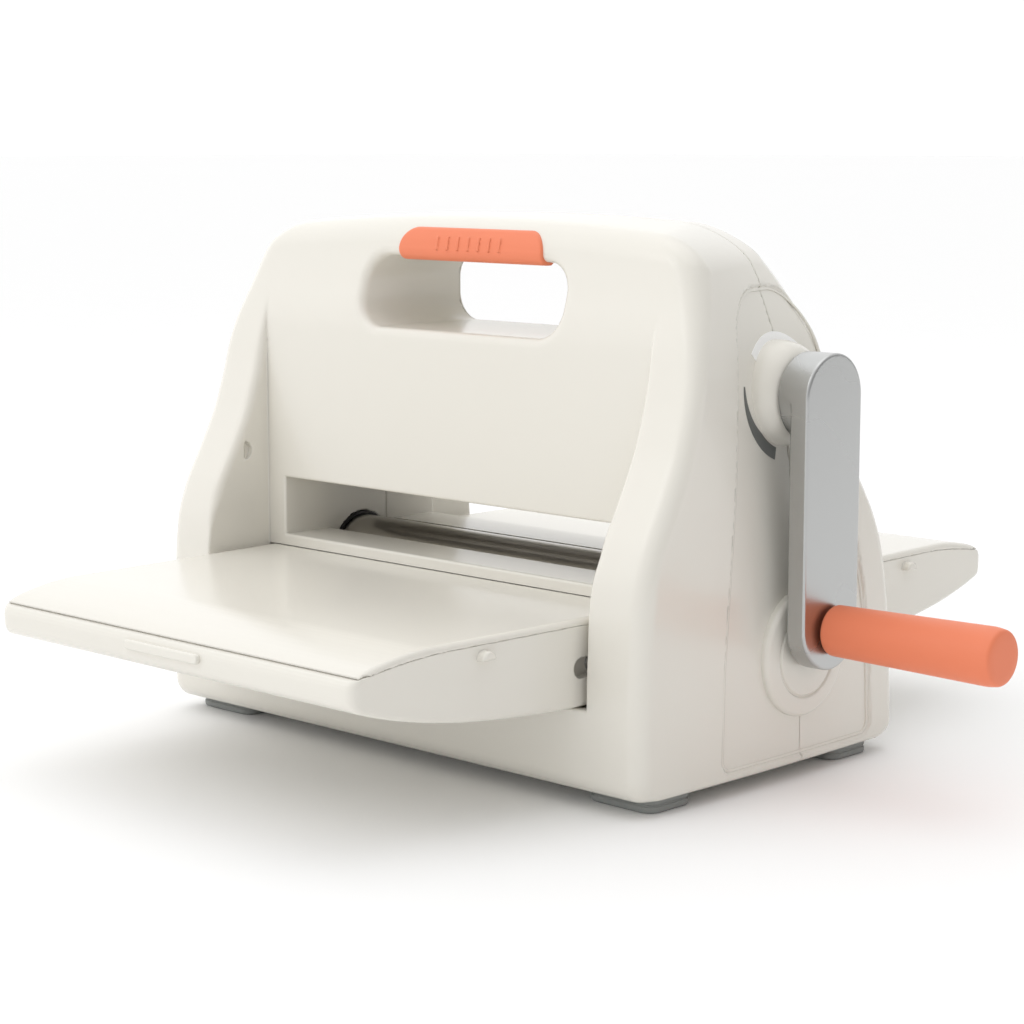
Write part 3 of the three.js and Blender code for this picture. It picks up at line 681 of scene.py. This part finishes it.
def make_crank():
    """The cast arm with its hub, relieved at the back, and the turning grip."""
    x0, x1 = 171.5, span("crank_arm", 0)[1]
    half, bottom = 20.5, middle("crank_grip", 2)
    start = span("crank_arm", 0)[0]

    def stadium(y, z, radius, low, high):
        return np.hypot(y - CRANK_Y, z - np.clip(z, low, high)) - radius

    def field(x, y, z):
        outline = stadium(y, z, half, bottom + 1.5, CRANK_Z)
        crown = 0.6 * ((y - CRANK_Y) / half) ** 2
        arm = round_max(outline, x - x1 + crown, 1.3)
        arm = round_max(arm, x0 - x, 0.8)
        relief = round_max(stadium(y, z, half - 5, bottom + 29, CRANK_Z - 38), x - x0 - 6, 1)
        arm = round_max(arm, -relief, 0.5)
        hub = round_max(np.hypot(y - CRANK_Y, z - CRANK_Z) - half, start - x, 0.8)
        return np.minimum(arm, np.maximum(hub, x - x0 - 1))

    grid = (spaced(start - 1.5, x1 + 1.5, 1.1, 0.5, (start, x0, x1), 1.6),
            spaced(CRANK_Y - half - 2, CRANK_Y + half + 2, 0.9),
            spaced(bottom - half - 2, CRANK_Z + half + 2, 0.9))
    points, faces, normals = surface(field, grid)
    make_piece("arm", points, faces, SILVER, "crank", ["crank_arm"], normals)
    g0, g1 = span("crank_grip", 0)
    grip = rounded_corners([(g0, 0.01), (g0, 11.9), (g1 - 6, 13.4), (g1 - 0.6, 12.6), (g1, 9),
                            (g1, 0.01)], 2.2, 6)
    points, faces = lathe_x([(g0, 0)] + grip[1:-1] + [(g1, 0)], CRANK_Y, bottom, 96)
    make_piece("grip_sleeve", points, faces, CORAL, "grip", ["crank_grip"], sharp=60)


# ---- Trays ----

def curve(points, steps=14):
    """A Bezier curve through two end points with one or two handles between."""
    points = [np.array(p, float) for p in points]
    line = []
    for i in range(1, steps + 1):
        level = points
        t = i / steps
        while len(level) > 1:
            level = [(1 - t) * a + t * b for a, b in zip(level, level[1:])]
        line.append(tuple(level[0]))
    return line


def tray_profile():
    """The tray's side outline as (y, z) points, from its rear edge under and round to the top."""
    arc = [(HINGE_Y + 18 * math.cos(a), HINGE_Z + 18 * math.sin(a))
           for a in np.linspace(math.pi, 1.5 * math.pi, 12)]
    outline = [(53.5, 87), (53.5, 86), (55.3, 80), (55.3, 75)] + arc + [(110, 46.9)]
    outline += curve([(110, 46.9), (160, 49), (195, 54), (225, 64.5)])
    outline += curve([(225, 64.5), (230, 67), (230, 74)], 8)
    outline += curve([(230, 74), (230, 80), (215, 83.4)], 8)
    outline += curve([(215, 83.4), (198, 87), (185, 87)], 8)
    return outline


TRAY_PROFILE = tray_profile()


def tray_plan(x, y):
    """The tray seen from above: it narrows towards its tip."""
    share = np.clip((y - TRAY_REAR_Y) / 164, -1, 2)
    side = np.abs(x) - TRAY_HALF["rear"] - (TRAY_HALF["tip"] - TRAY_HALF["rear"]) * share
    return round_max(side, y - TRAY_TIP_Y, 6)


def parting(y, z):
    """Height above the line between the tray's top and its pan, just under the top's edge."""
    return z - 84 + 6 * np.clip((y - 170) / 60, 0, 2) ** 2


def tray_fields():
    profile = {}

    def whole(x, y, z):
        section = polygon_field(y, z, TRAY_PROFILE)
        return round_max(section, tray_plan(x, y), 2.6)

    def top(x, y, z):
        return round_max(whole(x, y, z), 0.01 - parting(y, z), 0.05)

    def pan(x, y, z):
        tray = round_max(whole(x, y, z), parting(y, z) + 0.01, 0.05)
        slot = np.hypot(y - np.clip(y, 81.3, 95.2), z - HINGE_Z) - 4.75
        slot = np.maximum(slot, 122 - np.abs(x))
        tray = round_max(tray, -slot, 0.5)
        peg = np.hypot(y - PEG_Y, z - PEG_Z + 2) - PEG_R
        peg = round_max(peg, PEG_Z - 2 - z, 0.5)
        peg = round_max(peg, np.abs(x) - PEG_END_X, 1.4)
        return np.minimum(tray, np.maximum(peg, 120 - np.abs(x)))

    return top, pan


def make_trays():
    top, pan = tray_fields()
    step = 1.5
    x_lines = spaced(-134, 134, step, 0.6, (-127, -124, 124, 127), 2.0)
    y_lines = spaced(52, 233, step, 0.6, (PEG_Y - PEG_R, PEG_Y + PEG_R, 76.5, 100, 229), 1.6)

    def bar(x, y, z):
        outline = rounded_rect_field(x, z - 74, 26, 2.2, 2.1)
        return round_max(np.maximum(outline, 226 - y), y - 231.4, 1)

    pan_lines = spaced(44, 86, 1.0, 0.6, (60, 69.5, 78, 84))
    bar_grid = (spaced(-28, 28, 0.7), spaced(224, 233, 0.45), spaced(70, 78, 0.45))
    shapes = [
        ("flap_top", "tray_top", surface(top, (x_lines, y_lines, spaced(70, 89, 0.8)))),
        ("flap_pan", "tray_pan", surface(pan, (x_lines, y_lines, pan_lines))),
        ("pull_bar", "finger_bar", surface(bar, bar_grid)),
    ]
    for end in ("front", "rear"):
        for name, node, shape in shapes:
            points, faces, normals = mirror_y(*shape) if end == "front" else shape
            make_piece(f"{end}_{name}", points, faces, CREAM, f"{end}_tray",
                       [f"{end}_{node}"], normals)


# ---- Studio ----

def area_light(name, location, target, size, power, color=(1, 1, 1)):
    light = bpy.data.lights.new(name, "AREA")
    light.shape = "RECTANGLE"
    light.size, light.size_y = size
    light.energy = power
    light.color = color
    lamp = bpy.data.objects.new(name, light)
    bpy.context.scene.collection.objects.link(lamp)
    lamp.location = location
    aim = Vector(target) - Vector(location)
    lamp.rotation_euler = aim.to_track_quat("-Z", "Y").to_euler()


def make_studio():
    mesh = bpy.data.meshes.new("floor")
    half = 30.0
    mesh.from_pydata([(-half, -half, 0), (half, -half, 0), (half, half, 0), (-half, half, 0)],
                     [], [(0, 1, 2, 3)])
    mesh.materials.append(new_material("floor_paper", (0.97, 0.97, 0.97), 0.9, bump=0.01))
    floor = bpy.data.objects.new("floor", mesh)
    bpy.context.scene.collection.objects.link(floor)
    area_light("key", (-0.7, -1.6, 1.5), (0, 0, 0.1), (1.2, 0.9), 2.5)
    area_light("top", (0.1, 0.2, 1.7), (0, 0, 0.1), (1.6, 1.2), 3)
    bpy.context.scene.view_settings.view_transform = "Standard"


def make_world():
    """Even light all round that falls off towards the crank's side and the floor."""
    world = bpy.data.worlds.new("studio")
    bpy.context.scene.world = world
    world.use_nodes = True
    background = world.node_tree.nodes["Background"]
    background.inputs["Color"].default_value = (1, 1, 1, 1)
    nodes, links = world.node_tree.nodes, world.node_tree.links
    where = nodes.new("ShaderNodeTexCoord")
    aside = nodes.new("ShaderNodeVectorMath")
    aside.operation = "DOT_PRODUCT"
    aside.inputs[1].default_value = (0.8, 0.15, -0.5)
    links.new(where.outputs["Generated"], aside.inputs[0])
    fade = nodes.new("ShaderNodeMapRange")
    fade.inputs["From Min"].default_value = -0.7
    fade.inputs["From Max"].default_value = 0.7
    fade.inputs["To Min"].default_value = 1.27
    fade.inputs["To Max"].default_value = 0.37
    links.new(aside.outputs["Value"], fade.inputs["Value"])
    links.new(fade.outputs["Result"], background.inputs["Strength"])


def make_camera():
    data = bpy.data.cameras.new("camera")
    data.lens = 87.36
    data.sensor_width = 36
    data.clip_end = 50
    camera = bpy.data.objects.new("camera", data)
    camera.location = (MID_X + 0.8564, -0.8961, 0.2990)
    camera.rotation_euler = (math.radians(90 - 8.62), 0, math.radians(43.93))
    bpy.context.scene.collection.objects.link(camera)
    bpy.context.scene.camera = camera


finish_cad_nodes()
make_shells()
make_insert()
make_panel_rims()
make_marks()
make_boss_and_cap()
make_feet()
make_rollers()
make_crank()
make_trays()
make_studio()
make_world()
make_camera()
